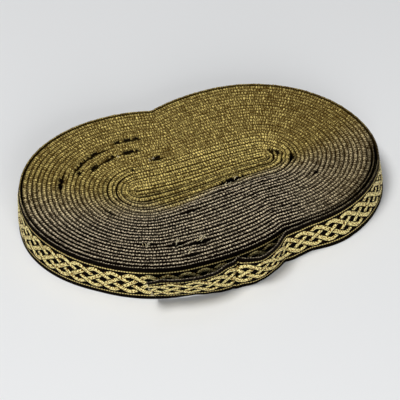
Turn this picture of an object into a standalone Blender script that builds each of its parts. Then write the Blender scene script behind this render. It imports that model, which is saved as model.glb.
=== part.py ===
"""A length of 13 mm polyester ribbon wound into a flat roll with two lobes.

The roll stands on the ribbon's edge, so its height is the ribbon's width. It was wound
round two fingers: the first turns lie flat together as a long core, and each later turn
goes round the one before, drawn in a little at the waist. The last turn's free end comes
off the right lobe, leans out across the front waist and stops at a slanting cut.

The shapes are worked out about the middle of the core. The finished pieces are then moved
together so that the origin lies under the middle of their box, on the surface that the
roll stands on, with +X along the long axis, +Y to the back and +Z up. Metres.
"""
import math
from collections import namedtuple

import bpy
import bmesh
import numpy as np
from mathutils import Matrix

MM = 0.001

# Ribbon
RIBBON_WIDTH = 13.0 * MM
RIBBON_THICKNESS = 1.1 * MM
CONTACT_GAP = 0.3 * MM

# Flat core, where the first turns lie on each other
CORE_LEFT_X = -20.5 * MM
CORE_RIGHT_X = 21.0 * MM
CORE_LEFT_Y = -2.4 * MM
CORE_RIGHT_Y = 1.2 * MM
CORE_LEFT_RADIUS = 6.9 * MM
CORE_RIGHT_RADIUS = 5.4 * MM

# Wound outline: two lobes, each built from four quarter ovals
Quarter = namedtuple("Quarter", "half_length depth squareness")
Lobe = namedtuple("Lobe", "centre_x centre_y outer_back inner_back outer_front inner_front")
LEFT_LOBE = Lobe(
    centre_x=-18.3 * MM,
    centre_y=-0.6 * MM,
    outer_back=Quarter(41.6 * MM, 39.4 * MM, 2.15),
    inner_back=Quarter(41.0 * MM, 39.4 * MM, 2.0),
    outer_front=Quarter(41.6 * MM, 40.5 * MM, 1.85),
    inner_front=Quarter(49.5 * MM, 40.5 * MM, 2.5),
)
RIGHT_LOBE = Lobe(
    centre_x=18.8 * MM,
    centre_y=0.8 * MM,
    outer_back=Quarter(41.0 * MM, 41.0 * MM, 2.0),
    inner_back=Quarter(50.0 * MM, 41.0 * MM, 2.0),
    outer_front=Quarter(41.0 * MM, 35.6 * MM, 2.0),
    inner_front=Quarter(41.0 * MM, 35.6 * MM, 2.0),
)
WAIST_BLEND = 0.006
SEARCH_REACH = 70.0 * MM
SEARCH_HALVINGS = 40
END_SHARE = 0.37

# Wall: the ribbon's face leans in a little at its foot, and out at the roll's two ends
WallRow = namedtuple("WallRow", "height_share inset_share")
WALL_ROWS = (
    WallRow(height_share=0.03, inset_share=1.0),
    WallRow(height_share=0.40, inset_share=0.35),
    WallRow(height_share=0.75, inset_share=0.0),
)
FOOT_INSET_LEFT = 1.0 * MM
FOOT_INSET_RIGHT = 0.3 * MM
Flare = namedtuple("Flare", "side starts width")
FLARE_OVER = 0.45
FLARES = (
    Flare(side=-1.0, starts=0.50, width=1.9 * MM),
    Flare(side=1.0, starts=0.10, width=1.8 * MM),
)
EDGE_ROUND = 0.35 * MM

# Twists that show on the wound face: grooves between groups of turns
PLACES_ROUND = 132
TURN_GROUPS = 8
GROOVE_DEPTH = 0.45 * MM
GROOVE_HALF_SHARE = 0.018
CORE_FOLD_SHARES = (0.66, 0.30)
CORE_GROOVE_DEPTH = 0.55 * MM
CORE_GROOVE_HALF_SHARE = 0.05
CORE_CLOSE_SHARE = 0.07

# Slow waves of the wound face: rises round the roll, phase across it and at its start
Wave = namedtuple("Wave", "rises across start height")
WAVES = (
    Wave(rises=2, across=5.0, start=0.6, height=0.11 * MM),
    Wave(rises=3, across=-9.0, start=2.1, height=0.07 * MM),
    Wave(rises=5, across=14.0, start=4.0, height=0.04 * MM),
)

# Slack places, where a groove between two groups opens into a slit
Slit = namedtuple("Slit", "groove place reach depth")
SLITS = (
    Slit(groove=4, place=0.425, reach=0.030, depth=1.6 * MM),
    Slit(groove=3, place=0.405, reach=0.028, depth=1.6 * MM),
    Slit(groove=2, place=0.620, reach=0.020, depth=1.2 * MM),
    Slit(groove=3, place=0.760, reach=0.020, depth=1.4 * MM),
    Slit(groove=6, place=0.730, reach=0.022, depth=1.6 * MM),
    Slit(groove=1, place=0.820, reach=0.018, depth=1.2 * MM),
)

# Free end of the ribbon, from the right lobe to its cut. The gaps are measured outwards
# from the roll's wall to the ribbon's inner face, at its foot and at its head.
Station = namedtuple("Station", "x foot_gap head_gap lift")
FREE_END = (
    Station(x=25.0 * MM, foot_gap=0.3 * MM, head_gap=0.3 * MM, lift=0.0 * MM),
    Station(x=19.0 * MM, foot_gap=0.3 * MM, head_gap=0.3 * MM, lift=0.0 * MM),
    Station(x=14.5 * MM, foot_gap=0.5 * MM, head_gap=0.8 * MM, lift=0.0 * MM),
    Station(x=11.0 * MM, foot_gap=1.1 * MM, head_gap=2.7 * MM, lift=0.0 * MM),
    Station(x=7.0 * MM, foot_gap=1.7 * MM, head_gap=4.2 * MM, lift=0.0 * MM),
    Station(x=2.5 * MM, foot_gap=2.0 * MM, head_gap=4.6 * MM, lift=0.0 * MM),
    Station(x=-3.0 * MM, foot_gap=1.2 * MM, head_gap=2.6 * MM, lift=0.1 * MM),
    Station(x=-7.5 * MM, foot_gap=1.2 * MM, head_gap=3.2 * MM, lift=0.5 * MM),
    Station(x=-13.0 * MM, foot_gap=0.8 * MM, head_gap=5.2 * MM, lift=1.0 * MM),
    Station(x=-18.0 * MM, foot_gap=0.1 * MM, head_gap=5.6 * MM, lift=1.5 * MM),
    Station(x=-24.0 * MM, foot_gap=-0.2 * MM, head_gap=5.5 * MM, lift=1.9 * MM),
    Station(x=-29.5 * MM, foot_gap=-0.3 * MM, head_gap=5.3 * MM, lift=2.1 * MM),
)
FREE_END_STEPS = 72
FOOT_HUG_LEFT = 0.6 * MM
FREE_END_ROWS = 5
CUT_SLANT = 4.5 * MM
CUT_SLANT_FROM = 0.75

# Colours, linear values of the woven black and gold
GOLD_THREAD = (0.42, 0.31, 0.09, 1.0)
SELVEDGE_THREAD = (0.20, 0.15, 0.06, 1.0)


def clear_scene():
    """Remove every object that the start-up file holds."""
    for item in list(bpy.data.objects):
        bpy.data.objects.remove(item, do_unlink=True)


def make_material(name, colour, roughness, metallic):
    material = bpy.data.materials.new(name)
    material.use_nodes = True
    shader = material.node_tree.nodes["Principled BSDF"]
    shader.inputs["Base Color"].default_value = colour
    shader.inputs["Roughness"].default_value = roughness
    shader.inputs["Metallic"].default_value = metallic
    material.diffuse_color = colour
    return material


def lobe_measure(lobe, x, y):
    """Return 1 on the lobe's outline, less inside it and more outside.

    Each quarter is an oval of its own half length, depth and squareness, and the four
    agree along the lobe's two axes.
    """
    outward = math.copysign(1.0, lobe.centre_x)
    across = (x - lobe.centre_x) * outward
    up = y - lobe.centre_y
    quarters = (
        (lobe.outer_back, (across >= 0) & (up >= 0)),
        (lobe.inner_back, (across < 0) & (up >= 0)),
        (lobe.outer_front, (across >= 0) & (up < 0)),
        (lobe.inner_front, (across < 0) & (up < 0)),
    )
    measure = np.zeros_like(x)
    for quarter, here in quarters:
        power = quarter.squareness
        oval = np.abs(across / quarter.half_length) ** power + np.abs(up / quarter.depth) ** power
        measure = np.where(here, oval ** (1.0 / power), measure)
    return measure


def outline_measure(x, y):
    """Blend the two lobes into one outline, with a soft corner at the waist."""
    left = np.exp(-lobe_measure(LEFT_LOBE, x, y) / WAIST_BLEND)
    right = np.exp(-lobe_measure(RIGHT_LOBE, x, y) / WAIST_BLEND)
    return -WAIST_BLEND * np.log(left + right + 1e-300)


def reach_to_outline(base_x, base_y, toward_x, toward_y):
    """Halve the interval until the ray from each base point meets the outline."""
    near = np.zeros_like(base_x)
    far = np.full_like(base_x, SEARCH_REACH)
    for _ in range(SEARCH_HALVINGS):
        middle = (near + far) / 2
        inside = outline_measure(base_x + toward_x * middle, base_y + toward_y * middle) < 1.0
        near = np.where(inside, middle, near)
        far = np.where(inside, far, middle)
    return near


def spokes(place):
    """Return the core's base point, direction and half width for each place round it.

    place runs from 0 to 1, counter-clockwise from the middle of the right end. The ends
    fan out over half a circle each, and the two sides run straight across.
    """
    turn = np.mod(place + END_SHARE / 2, 1.0)
    second = turn >= 0.5
    within = np.where(second, turn - 0.5, turn)
    on_end = within < END_SHARE
    fan = np.clip(within / END_SHARE, 0.0, 1.0) * math.pi - math.pi / 2
    along_side = np.clip((within - END_SHARE) / (0.5 - END_SHARE), 0.0, 1.0)
    angle = np.where(on_end, fan, math.pi / 2) + np.where(second, math.pi, 0.0)
    from_right = np.where(on_end, 0.0, along_side)
    from_right = np.where(second, 1.0 - from_right, from_right)
    ease = from_right * from_right * (3.0 - 2.0 * from_right)
    base_x = CORE_RIGHT_X + (CORE_LEFT_X - CORE_RIGHT_X) * from_right
    base_y = CORE_RIGHT_Y + (CORE_LEFT_Y - CORE_RIGHT_Y) * ease
    radius = CORE_RIGHT_RADIUS + (CORE_LEFT_RADIUS - CORE_RIGHT_RADIUS) * from_right
    return base_x, base_y, np.cos(angle), np.sin(angle), radius


def unevenness(share, place):
    """Height of the wound face above or below the ribbon's width: a few slow waves."""
    height = np.zeros_like(place)
    for wave in WAVES:
        phase = 2 * math.pi * wave.rises * place + wave.across * share + wave.start
        height = height + wave.height * np.sin(phase)
    return height


def slit_depth(groove, place):
    """Extra depth of one groove round the roll, where its two groups part."""
    extra = np.zeros_like(place)
    for slit in SLITS:
        if slit.groove != groove:
            continue
        away = np.abs(np.mod(place - slit.place + 0.5, 1.0) - 0.5)
        extra = np.maximum(extra, slit.depth * np.clip(1.0 - (away / slit.reach) ** 2, 0.0, 1.0))
    return extra


def wall_inset(toward_x):
    """How far the foot leans in for each direction, less than nothing where it leans out."""
    left_share = 0.5 - 0.5 * toward_x
    inset = FOOT_INSET_RIGHT + (FOOT_INSET_LEFT - FOOT_INSET_RIGHT) * left_share
    for flare in FLARES:
        part = np.clip((flare.side * toward_x - flare.starts) / FLARE_OVER, 0.0, 1.0)
        inset = inset - flare.width * part * part * (3.0 - 2.0 * part)
    return inset


def roll_rings(place):
    """Return the closed roll as rings of points, from the foot up to the core's fold."""
    base_x, base_y, toward_x, toward_y, radius = spokes(place)
    reach = reach_to_outline(base_x, base_y, toward_x, toward_y)
    foot_inset = wall_inset(toward_x)

    def ring(out, height):
        return np.column_stack((base_x + toward_x * out, base_y + toward_y * out, height))

    def level(value):
        return np.full_like(place, value)

    def crest(share):
        return ring(radius + (reach - radius) * share, RIBBON_WIDTH + unevenness(share, place))

    def groove(number):
        share = number / TURN_GROUPS
        depth = GROOVE_DEPTH + slit_depth(number, place)
        height = RIBBON_WIDTH + unevenness(share, place) - depth
        return ring(radius + (reach - radius) * share, height)

    rim_height = RIBBON_WIDTH + unevenness(1.0, place)
    rings = [ring(reach - foot_inset - EDGE_ROUND, level(0.0))]
    for row in WALL_ROWS:
        rings.append(ring(reach - row.inset_share * foot_inset, level(row.height_share * RIBBON_WIDTH)))
    rings.append(ring(reach, rim_height - EDGE_ROUND))
    rings.append(ring(reach - EDGE_ROUND, rim_height))
    for number in range(TURN_GROUPS - 1, -1, -1):
        rings.append(crest((number + 1) / TURN_GROUPS - GROOVE_HALF_SHARE))
        rings.append(crest(number / TURN_GROUPS + GROOVE_HALF_SHARE))
        rings.append(groove(number))
    for fold in CORE_FOLD_SHARES:
        rings.append(ring(radius * (fold + CORE_GROOVE_HALF_SHARE), level(RIBBON_WIDTH)))
        rings.append(ring(radius * fold, level(RIBBON_WIDTH - CORE_GROOVE_DEPTH)))
        rings.append(ring(radius * (fold - CORE_GROOVE_HALF_SHARE), level(RIBBON_WIDTH)))
    rings.append(ring(radius * CORE_CLOSE_SHARE, level(RIBBON_WIDTH - CORE_GROOVE_DEPTH)))
    return rings


def build_roll(material):
    """Skin the rings into one closed body, with a face over the foot and the core fold."""
    place = (np.arange(PLACES_ROUND) + 0.5) / PLACES_ROUND
    mesh = bmesh.new()
    rows = [[mesh.verts.new(point) for point in ring] for ring in roll_rings(place)]
    mesh.faces.new(reversed(rows[0]))
    for lower, upper in zip(rows, rows[1:]):
        for step in range(PLACES_ROUND):
            after = (step + 1) % PLACES_ROUND
            mesh.faces.new((lower[step], lower[after], upper[after], upper[step]))
    mesh.faces.new(rows[-1])
    return finish("wound_roll", mesh, material)


def wall_front(x):
    """Return the y of the roll's front wall at each x, by halving the interval."""
    reach = reach_to_outline(x, np.zeros_like(x), np.zeros_like(x), -np.ones_like(x))
    return -reach


def smooth_stations(steps):
    """Pass a smooth curve through the free end's stations, at even steps along it."""
    table = np.array(FREE_END)
    knots = np.arange(len(table), dtype=float)
    padded = np.vstack((2 * table[0] - table[1], table, 2 * table[-1] - table[-2]))
    at = np.linspace(0.0, knots[-1], steps)
    first = np.minimum(at.astype(int), len(table) - 2)
    part = (at - first)[:, None]
    p0, p1, p2, p3 = (padded[first + shift] for shift in range(4))
    curve = 2 * p1 + (p2 - p0) * part + (2 * p0 - 5 * p1 + 4 * p2 - p3) * part ** 2
    return (curve + (3 * p1 - p0 - 3 * p2 + p3) * part ** 3) / 2


def build_free_end(material):
    """Skin the free end: rows of points up its inner face, and their pairs outside.

    The wall leans in at its foot, so towards the left the foot may hug it by that much.
    """
    stations = smooth_stations(FREE_END_STEPS)
    along = stations[:, 0]
    lift = np.maximum(stations[:, 3], 0.0)
    hug = FOOT_HUG_LEFT * np.clip(along / FREE_END[-1].x, 0.0, 1.0)
    progress = np.linspace(0.0, 1.0, FREE_END_STEPS)
    slant = CUT_SLANT * np.clip((progress - CUT_SLANT_FROM) / (1.0 - CUT_SLANT_FROM), 0.0, 1.0)
    lean = np.arctan2(stations[:, 2] - stations[:, 1], RIBBON_WIDTH)
    mesh = bmesh.new()
    inner = []
    outer = []
    for row in range(FREE_END_ROWS):
        up = row / (FREE_END_ROWS - 1)
        x = along - slant * up
        gap = stations[:, 1] + (stations[:, 2] - stations[:, 1]) * up
        gap = np.maximum(gap, CONTACT_GAP - hug)
        y = wall_front(x) - gap
        z = lift + RIBBON_WIDTH * np.cos(lean) * up
        points = np.column_stack((x, y, z))
        run = np.gradient(points[:, :2], axis=0)
        run = run / np.linalg.norm(run, axis=1)[:, None]
        out = np.column_stack((-run[:, 1], run[:, 0])) * RIBBON_THICKNESS
        inner.append([mesh.verts.new(point) for point in points])
        outside = points + np.column_stack((out, np.zeros(FREE_END_STEPS)))
        outer.append([mesh.verts.new(point) for point in outside])
    loop_rows = inner + outer[::-1]
    for lower, upper in zip(loop_rows, loop_rows[1:] + loop_rows[:1]):
        for step in range(FREE_END_STEPS - 1):
            mesh.faces.new((lower[step], upper[step], upper[step + 1], lower[step + 1]))
    mesh.faces.new([row[0] for row in reversed(loop_rows)])
    mesh.faces.new([row[-1] for row in loop_rows])
    bmesh.ops.recalc_face_normals(mesh, faces=mesh.faces)
    return finish("loose_end", mesh, material)


def finish(name, mesh, material):
    """Put the mesh into a named, smooth-shaded object with sharp edges kept."""
    data = bpy.data.meshes.new(name)
    mesh.to_mesh(data)
    mesh.free()
    data.materials.append(material)
    data.shade_smooth()
    data.set_sharp_from_angle(angle=math.radians(40))
    item = bpy.data.objects.new(name, data)
    bpy.context.scene.collection.objects.link(item)
    return item


def centre_on_box(items):
    """Move the pieces together, so that the origin lies under the middle of their box."""
    points = [vertex.co for item in items for vertex in item.data.vertices]
    lowest = [min(point[axis] for point in points) for axis in range(3)]
    highest = [max(point[axis] for point in points) for axis in range(3)]
    middle_x = (lowest[0] + highest[0]) / 2
    middle_y = (lowest[1] + highest[1]) / 2
    shift = Matrix.Translation((-middle_x, -middle_y, -lowest[2]))
    for item in items:
        item.data.transform(shift)


def main():
    clear_scene()
    roll = build_roll(make_material("woven_selvedge", SELVEDGE_THREAD, 0.7, 0.2))
    free_end = build_free_end(make_material("woven_face", GOLD_THREAD, 0.5, 0.4))
    centre_on_box((roll, free_end))


main()
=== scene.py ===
"""Looks of a wound roll of narrow woven ribbon, black with a plaited gold band.

The roll is one length of ribbon on edge. It is built as a band carried along a spiral
that follows the wound form, and its free end is the same band carried across the waist.
"""

import math
from collections import namedtuple

import bpy
import numpy as np
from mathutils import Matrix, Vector


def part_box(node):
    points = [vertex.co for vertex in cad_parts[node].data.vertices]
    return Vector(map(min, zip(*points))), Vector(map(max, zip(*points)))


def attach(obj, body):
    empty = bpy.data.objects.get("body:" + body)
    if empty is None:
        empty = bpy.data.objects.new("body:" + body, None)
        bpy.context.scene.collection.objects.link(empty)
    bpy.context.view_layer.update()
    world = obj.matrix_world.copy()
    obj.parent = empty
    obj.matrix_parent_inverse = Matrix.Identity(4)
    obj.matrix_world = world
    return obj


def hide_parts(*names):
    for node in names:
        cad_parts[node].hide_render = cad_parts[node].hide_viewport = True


bl_info = {
    "name": "Wound ribbon roll",
    "version": (1, 0, 0),
    "blender": (4, 5, 0),
    "location": "View3D > Sidebar > Ribbon",
    "description": "Builds a flat two-lobed roll of woven ribbon with a plaited gold band",
    "category": "Add Mesh",
}

MM = 0.001
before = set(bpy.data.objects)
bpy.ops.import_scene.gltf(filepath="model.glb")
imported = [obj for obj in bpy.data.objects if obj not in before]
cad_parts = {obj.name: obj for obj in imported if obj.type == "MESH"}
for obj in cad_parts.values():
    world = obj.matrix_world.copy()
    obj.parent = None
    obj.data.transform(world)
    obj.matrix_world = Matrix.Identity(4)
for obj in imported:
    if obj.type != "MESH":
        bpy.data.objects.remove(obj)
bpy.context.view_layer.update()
ROLL_LOW, ROLL_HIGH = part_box("wound_roll")

# The wound form. Its outline is that of the solid that the ribbon replaces. The flares of
# its foot start and spread a little differently.
CORE_LEFT_X = -20.5 * MM
CORE_RIGHT_X = 21.0 * MM
CORE_LEFT_Y = -2.4 * MM
CORE_RIGHT_Y = 1.2 * MM
CORE_LEFT_RADIUS = 6.9 * MM
CORE_RIGHT_RADIUS = 5.4 * MM
Quarter = namedtuple("Quarter", "half_length depth squareness")
Lobe = namedtuple("Lobe", "centre_x centre_y outer_back inner_back outer_front inner_front")
LEFT_LOBE = Lobe(
    centre_x=-18.3 * MM,
    centre_y=-0.6 * MM,
    outer_back=Quarter(41.6 * MM, 39.4 * MM, 2.15),
    inner_back=Quarter(41.0 * MM, 39.4 * MM, 2.0),
    outer_front=Quarter(41.6 * MM, 40.5 * MM, 1.85),
    inner_front=Quarter(49.5 * MM, 40.5 * MM, 2.5),
)
RIGHT_LOBE = Lobe(
    centre_x=18.8 * MM,
    centre_y=0.8 * MM,
    outer_back=Quarter(41.0 * MM, 41.0 * MM, 2.0),
    inner_back=Quarter(50.0 * MM, 41.0 * MM, 2.0),
    outer_front=Quarter(41.0 * MM, 35.6 * MM, 2.0),
    inner_front=Quarter(41.0 * MM, 35.6 * MM, 2.0),
)
WAIST_BLEND = 0.006
SEARCH_REACH = 70.0 * MM
SEARCH_HALVINGS = 40
END_SHARE = 0.37
FOOT_INSET_LEFT = 1.0 * MM
FOOT_INSET_RIGHT = 0.3 * MM
FOOT_INSET_TOP = 0.75
FOOT_INSET_POWER = 6
Flare = namedtuple("Flare", "side starts width")
FLARE_OVER = 0.45
FLARES = (
    Flare(side=-1.0, starts=0.62, width=1.7 * MM),
    Flare(side=1.0, starts=0.00, width=2.1 * MM),
)
SOLID_FOOT_REACH = 0.9 * MM

# The box is centred on the origin, so the form's own middle lies this far from it.
LEFTMOST = LEFT_LOBE.centre_x - LEFT_LOBE.outer_back.half_length - SOLID_FOOT_REACH
MIDDLE_X = ROLL_LOW.x - LEFTMOST
MIDDLE_Y = ROLL_HIGH.y - (RIGHT_LOBE.centre_y + RIGHT_LOBE.outer_back.depth)

# Turns, counted outwards from the fold in the core. The root is where the free end starts.
CORE_TURNS = 4.6
BUILD_TURNS = 22.5
TOTAL_TURNS = CORE_TURNS + BUILD_TURNS
FIRST_TURN = 0.25
ROOT_PLACE = 0.828
FOLD_SHIFT_X = -2.6 * MM
FOLD_SHIFT_Y = 1.0 * MM
FOLD_SAG = 0.45 * MM
TURN_WANDER = 0.09 * MM
PAIR_SHIFT = 0.20 * MM
PAIR_END_TURN = 7.5
PAIR_FADE_TURNS = 2.0
PAIR_STEEPNESS = 4.0
PAIR_PHASE = 1.03
HEAD_LIFT = 0.16 * MM
STEP_SHARE = 0.04
STEP_FADE = 7.0
TURN_FILL = 0.93
TRACK_STEPS = 40000
LIFT_FADE_TURNS = 0.1
RANDOM_SEED = 7
RANDOM_LOOPS = 40000
RANDOM_TURNS = 64

Stretch = namedtuple("Stretch", "name first last")
WOUND_STRETCHES = (
    Stretch(name="core_turns", first=FIRST_TURN, last=14.5),
    Stretch(name="middle_turns", first=14.5, last=22.5),
    Stretch(name="late_turns", first=22.5, last=TOTAL_TURNS - 1.15),
)
SHOWN_STRETCH = Stretch(name="outer_turn", first=TOTAL_TURNS - 1.15, last=TOTAL_TURNS)

# Places where two turns part: which turn, where round the roll, how far and how wide. A
# slit pushes turns apart for SLIT_REACH_TURNS, and paints its shade black on the edges that face it.
SLIT_SOFTNESS = 0.3
SLIT_REACH_TURNS = 2.5
SLIT_EDGE_TURNS = 0.75
SLIT_RIPPLES = 151
SLIT_RIPPLE_PHASE = 5.0
SLIT_RAGGED = 0.25
SLIT_SHARPNESS = 9.0
SLIT_LEVEL = 0.42
SLIT_CHANCE = 0.30
Slit = namedtuple("Slit", "turn place reach opening")
SLITS = (
    Slit(turn=16.03, place=0.400, reach=0.020, opening=1.2 * MM),
    Slit(turn=16.07, place=0.362, reach=0.022, opening=1.3 * MM),
    Slit(turn=17.12, place=0.308, reach=0.018, opening=0.9 * MM),
    Slit(turn=13.04, place=0.388, reach=0.016, opening=1.1 * MM),
    Slit(turn=13.08, place=0.350, reach=0.020, opening=1.4 * MM),
    Slit(turn=13.12, place=0.312, reach=0.012, opening=1.2 * MM),
    Slit(turn=9.14, place=0.287, reach=0.006, opening=2.2 * MM),
    Slit(turn=7.11, place=0.321, reach=0.012, opening=0.8 * MM),
    Slit(turn=15.01, place=0.414, reach=0.008, opening=0.9 * MM),
    Slit(turn=17.99, place=0.442, reach=0.020, opening=0.8 * MM),
    Slit(turn=10.87, place=0.556, reach=0.014, opening=1.2 * MM),
    Slit(turn=10.71, place=0.718, reach=0.012, opening=1.0 * MM),
    Slit(turn=5.66, place=0.772, reach=0.014, opening=1.6 * MM),
    Slit(turn=18.78, place=0.650, reach=0.012, opening=1.5 * MM),
    Slit(turn=19.74, place=0.688, reach=0.010, opening=1.4 * MM),
    Slit(turn=20.72, place=0.711, reach=0.013, opening=1.6 * MM),
    Slit(turn=23.73, place=0.697, reach=0.010, opening=0.9 * MM),
    Slit(turn=20.61, place=0.820, reach=0.006, opening=1.0 * MM),
    Slit(turn=14.52, place=0.908, reach=0.010, opening=0.9 * MM),
    Slit(turn=3.37, place=0.030, reach=0.050, opening=1.0 * MM),
    Slit(turn=4.41, place=0.000, reach=0.045, opening=1.1 * MM),
    Slit(turn=7.48, place=0.953, reach=0.022, opening=1.4 * MM),
    Slit(turn=2.10, place=0.490, reach=0.030, opening=0.5 * MM),
)

# Free end, from the right lobe to its cut: gaps from the wall to the ribbon's inner face.
Station = namedtuple("Station", "x foot_gap head_gap lift")
FREE_END = (
    Station(x=25.0 * MM, foot_gap=0.3 * MM, head_gap=0.3 * MM, lift=0.0 * MM),
    Station(x=19.0 * MM, foot_gap=0.3 * MM, head_gap=0.3 * MM, lift=0.0 * MM),
    Station(x=14.5 * MM, foot_gap=0.5 * MM, head_gap=0.8 * MM, lift=0.0 * MM),
    Station(x=11.0 * MM, foot_gap=1.1 * MM, head_gap=2.7 * MM, lift=0.0 * MM),
    Station(x=7.0 * MM, foot_gap=1.7 * MM, head_gap=4.2 * MM, lift=0.0 * MM),
    Station(x=2.5 * MM, foot_gap=2.0 * MM, head_gap=4.6 * MM, lift=0.0 * MM),
    Station(x=-3.0 * MM, foot_gap=1.2 * MM, head_gap=2.6 * MM, lift=0.1 * MM),
    Station(x=-7.5 * MM, foot_gap=1.2 * MM, head_gap=3.2 * MM, lift=0.5 * MM),
    Station(x=-13.0 * MM, foot_gap=0.8 * MM, head_gap=5.2 * MM, lift=1.0 * MM),
    Station(x=-18.0 * MM, foot_gap=0.1 * MM, head_gap=5.6 * MM, lift=1.5 * MM),
    Station(x=-24.0 * MM, foot_gap=-0.2 * MM, head_gap=5.5 * MM, lift=1.9 * MM),
    Station(x=-29.5 * MM, foot_gap=-0.3 * MM, head_gap=5.3 * MM, lift=2.1 * MM),
)
STATION_STEPS = 1200
ROOT_TOWARD_X = 0.1
ROOT_BLEND = 10.0 * MM
ROOT_CLEARANCE = 0.3 * MM
CUT_SLANT = 4.5 * MM
CUT_SLANT_FROM = 0.75
CREASE_X = -4.6 * MM
CREASE_HALF_WIDTH = 0.8 * MM
CREASE_DEPTH = 1.1 * MM
CREASE_SLANT = 1.5 * MM
CREASE_AT_FOOT = 0.3
RUMPLE_HEIGHT = 0.07 * MM
RUMPLE_LENGTH = 5.3 * MM
RUMPLE_TWIST = 3.0

# The section: rows across the face, points over the rounded edge, and small edge loops.
WOUND_FACE_SHARES = (0.025, 0.75, 0.976)
SHOWN_ROWS = 42
SHOWN_INNER_ROWS = 6
EDGE_ROUND = 0.3 * MM
EDGE_SHOWN = 0.8
FOOT_RISE = 0.34
EdgePoint = namedtuple("EdgePoint", "side drop loop")
EDGE_POINTS = (
    EdgePoint(side=0.90, drop=0.34, loop=0.15),
    EdgePoint(side=0.50, drop=0.06, loop=0.70),
    EdgePoint(side=0.00, drop=0.00, loop=1.00),
    EdgePoint(side=-0.50, drop=0.06, loop=0.70),
    EdgePoint(side=-0.90, drop=0.34, loop=0.25),
)
HEAD_FROM = 0.8
LOOP_SPACING = 0.84 * MM
LOOP_PROFILE = (1.0, 0.55, 0.0)
LOOP_STEP = LOOP_SPACING / len(LOOP_PROFILE)
LOOP_HEIGHT = 0.28 * MM
LOOP_LEAST = 0.35
LOOP_SWAY = 0.13 * MM
LOOP_SHIFT = 0.09 * MM
LOOP_DRIFT = 0.35 * MM
LOOP_DRIFT_LENGTH = 7.3 * MM
SELVEDGE_THIN = 0.62
SELVEDGE_RUN = 2.2 * MM
Section = namedtuple("Section", "side height travel loop face_rows lap")

# Plaited band: four strands that cross in three rows. Distances are taken straight across
# the ribbon, so STRAND_STEEPNESS widens a strand where its slope passes STRAND_SLOPE.
PLAIT_REPEAT = 5.69 * MM
PLAIT_STRANDS = 4
PLAIT_HALF_HEIGHT = 3.4 * MM
PLAIT_SHARPNESS = 0.93
STRAND_HALF_WIDTH = 0.66 * MM
STRAND_SHADOW = 0.38 * MM
STRAND_STEEPNESS = 0.83
STRAND_SLOPE = 0.4
STRAND_RELIEF = 0.24 * MM
PLAIT_START = 1.6 * MM
MARGIN = 1.7 * MM
MARGIN_LINE = 0.32 * MM
LINE_STITCH = 0.85 * MM
STITCH_FROM = -0.6

# The finish, with painted glints. Yarn flecks, which carry painted glints and shade, and the
# single threads of the edge loops, which carry painted glints, are drawn about twice their
# real size, or they wouldn't show.
FLECK_LENGTH = 0.50 * MM
FLECK_HEIGHT = 0.40 * MM
FLECK_DARK = 0.45
FLECK_LIGHT = 0.53
THREAD_LENGTH = 0.40 * MM
THREAD_HEIGHT = 0.34 * MM
THREAD_DARK = 0.39
THREAD_LIGHT = 0.62
THREAD_GAIN = 1.9
HEM_INNER = 1.8 * MM
HEM_OUTER = 0.6 * MM
CLOTH_ROUGHNESS = 0.85
YARN_ROUGHNESS = 0.42
YARN_METAL = 0.45
CLOTH_SPECULAR = 0.03

# Where the edge threads change from gold at the back to grey in front of the core. The gold
# at the back is partly the gold reverse of the edge showing there, and partly painted
# reflection of light on the metallic threads.
ToneStop = namedtuple("ToneStop", "x y fade")
TONE_STOPS = (
    ToneStop(x=-60.0 * MM, y=4.0 * MM, fade=40.0 * MM),
    ToneStop(x=-35.0 * MM, y=-7.0 * MM, fade=24.0 * MM),
    ToneStop(x=-22.0 * MM, y=-12.0 * MM, fade=14.0 * MM),
    ToneStop(x=-14.0 * MM, y=-14.0 * MM, fade=5.0 * MM),
    ToneStop(x=1.0 * MM, y=-9.0 * MM, fade=3.0 * MM),
    ToneStop(x=12.0 * MM, y=-7.8 * MM, fade=3.0 * MM),
    ToneStop(x=31.0 * MM, y=-6.0 * MM, fade=10.0 * MM),
    ToneStop(x=60.0 * MM, y=3.0 * MM, fade=28.0 * MM),
)

# How the edge threads' painted brightness changes: grey ones by a power and a gain, which
# leave few painted glints among dark threads; all of them by painted light and shade in
# streaks along each turn; and over the roll by a warmer right end dimmed by painted shade,
# and a brighter core.
COOL_POWER = 1.6
COOL_GAIN = 4.2
STREAK_LENGTH = 3.2 * MM
STREAK_DARK = 0.3
STREAK_LIGHT = 0.7
STREAK_LOW = 0.5
STREAK_HIGH = 1.3
RIGHT_WARMTH = 0.45
RIGHT_DIMNESS = 0.32
RIGHT_FROM = 20.0 * MM
RIGHT_OVER = 22.0 * MM
CORE_BRIGHTNESS = 0.60

# Black parts of an edge, by its side (1 outer, -1 inner): the outer side of each turn, more
# in front; the seam inside each pair of core turns; the last turns at the rim; and painted
# shade on the side that faces a slit.
BLACK_FADE = 0.4
OUTER_FROM = 0.05
OUTER_WIDER_IN_FRONT = 0.12
OUTER_BLACK = 0.42
OUTER_LESS_RIGHT = 0.75
SEAM_FROM = -0.25
SEAM_BLACK = 0.95
SEAM_GAIN = 1.3
RIM_TURNS = 1.0
RIM_TURNS_RIGHT = 2.8
RIM_FADE_TURNS = 0.8
RIM_FRONT = 5.0 * MM
RIM_FRONT_OVER = 15.0 * MM
RIM_BLACK = 0.68
RIM_BLACK_INSIDE = 0.2
RIM_INSIDE_FROM = -0.1
SLIT_SHADE_MIDDLE = 0.6
SLIT_SHADE_SLOPE = 3.0

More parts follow.
